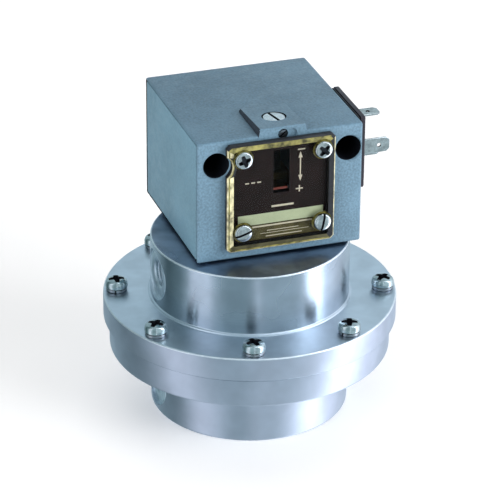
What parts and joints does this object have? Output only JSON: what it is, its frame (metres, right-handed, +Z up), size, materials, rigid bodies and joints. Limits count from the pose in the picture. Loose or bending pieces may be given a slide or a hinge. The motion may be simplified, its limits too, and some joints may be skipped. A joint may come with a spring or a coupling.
{
  "type": "differential pressure switch",
  "caption": "Diaphragm differential pressure switch: two flanged aluminium pressure chambers bolted together under a cast switch housing with a scale window, setting spindle and plug base.",
  "frame": {"origin": "centre of the lower chamber's flat bottom face, on the chamber's axis", "axes": "+Z up along the chamber's axis, -Y out of the scale window, +X out of the plug base, -X out of the pressure ports"},
  "size_m": [0.13, 0.13, 0.1413],
  "materials": {
    "turned_aluminium": "bare, fine turned",
    "hammered_paint": "semi-gloss blue-grey paint with a fine hammered texture on a zinc casting",
    "steel": "zinc plated",
    "brass": "bare, machined",
    "spring_steel": "darkened spring steel",
    "rubber": "matt",
    "black_plastic": "satin moulded",
    "white_plastic": "moulded",
    "clear_plastic": "clear, slightly yellowed plastic with polished bevels",
    "scale_print": "dark printed plate"
  },
  "bodies": {
    "switch_body": {"lower_chamber": "turned_aluminium", "upper_chamber": "turned_aluminium", "stem_seal": "rubber", "guide_bush": "brass", "diaphragm": "rubber", "flange_washer_1": "spring_steel", "flange_washer_2": "spring_steel", "flange_washer_3": "spring_steel", "flange_washer_4": "spring_steel", "flange_washer_5": "spring_steel", "flange_washer_6": "spring_steel", "flange_washer_7": "spring_steel", "flange_washer_8": "spring_steel", "flange_screw_1": "steel", "flange_screw_2": "steel", "flange_screw_3": "steel", "flange_screw_4": "steel", "flange_screw_5": "steel", "flange_screw_6": "steel", "flange_screw_7": "steel", "flange_screw_8": "steel", "switch_housing": "hammered_paint", "side_cover": "hammered_paint", "stem_nut": "steel", "window_gasket": "rubber", "scale_plate": "scale_print", "window_cover": "clear_plastic", "window_screw_1": "steel", "window_screw_2": "steel", "window_screw_3": "steel", "window_screw_4": "steel", "setting_spring": "spring_steel", "pivot_bracket": "steel", "pivot_pin": "steel", "bracket_screw_1": "steel", "bracket_screw_2": "steel", "microswitch_body": "black_plastic", "microswitch_screw_1": "steel", "microswitch_screw_2": "steel", "plug_gasket": "rubber", "plug_base": "black_plastic", "plug_screw_1": "steel", "plug_screw_2": "steel", "contact_blade_1": "steel", "contact_blade_2": "steel", "earth_blade": "steel"},
    "thrust_stack": {"thrust_pin": "steel", "upper_diaphragm_plate": "turned_aluminium", "lower_diaphragm_plate": "turned_aluminium", "diaphragm_nut": "steel"},
    "lever": {"switching_bridge": "steel", "calibration_screw": "steel", "spring_seat": "brass"},
    "plunger": {"microswitch_plunger": "white_plastic"},
    "spindle": {"setting_spindle": "steel", "spindle_retainer": "spring_steel"},
    "nut": {"running_nut": "brass"},
    "lock_carrier": {"locking_pad": "brass"},
    "lock_grub": {"locking_screw": "steel"}
  },
  "joints": [
    {"name": "pin_travel", "type": "slide", "parent": "switch_body", "child": "thrust_stack", "axis": [0, 0, 1], "range_m": [0, 0.0006]},
    {"name": "lever_swing", "type": "hinge", "parent": "switch_body", "child": "lever", "pos_m": [0, 0.03, 0.0952], "axis": [-1, 0, 0], "range_deg": [0, 1.16]},
    {"name": "plunger_travel", "type": "slide", "parent": "switch_body", "child": "plunger", "axis": [0, 0, 1], "range_m": [0, 0.0005]},
    {"name": "spindle_turn", "type": "hinge", "parent": "switch_body", "child": "spindle", "pos_m": [0.0065, -0.011, 0.1393], "axis": [0, 0, 1], "range_deg": [-5940, 144]},
    {"name": "nut_travel", "type": "slide", "parent": "switch_body", "child": "nut", "axis": [0, 0, 1], "range_m": [-0.0004, 0.0165], "deforming": ["setting_spring"]},
    {"name": "lock_travel", "type": "slide", "parent": "switch_body", "child": "lock_carrier", "axis": [0, -1, 0], "range_m": [0, 0.0007]},
    {"name": "lock_turn", "type": "hinge", "parent": "lock_carrier", "child": "lock_grub", "pos_m": [0.0065, -0.0232, 0.1376], "axis": [0, -1, 0], "range_deg": [0, 360]}
  ],
  "couplings": [
    {"joint": "lever_swing", "follows": "pin_travel", "rad_per_m": 33.333},
    {"joint": "plunger_travel", "follows": "pin_travel", "ratio": 0.8333},
    {"joint": "spindle_turn", "follows": "nut_travel", "rad_per_m": -6283.2},
    {"joint": "lock_turn", "follows": "lock_travel", "rad_per_m": 8976}
  ]
}
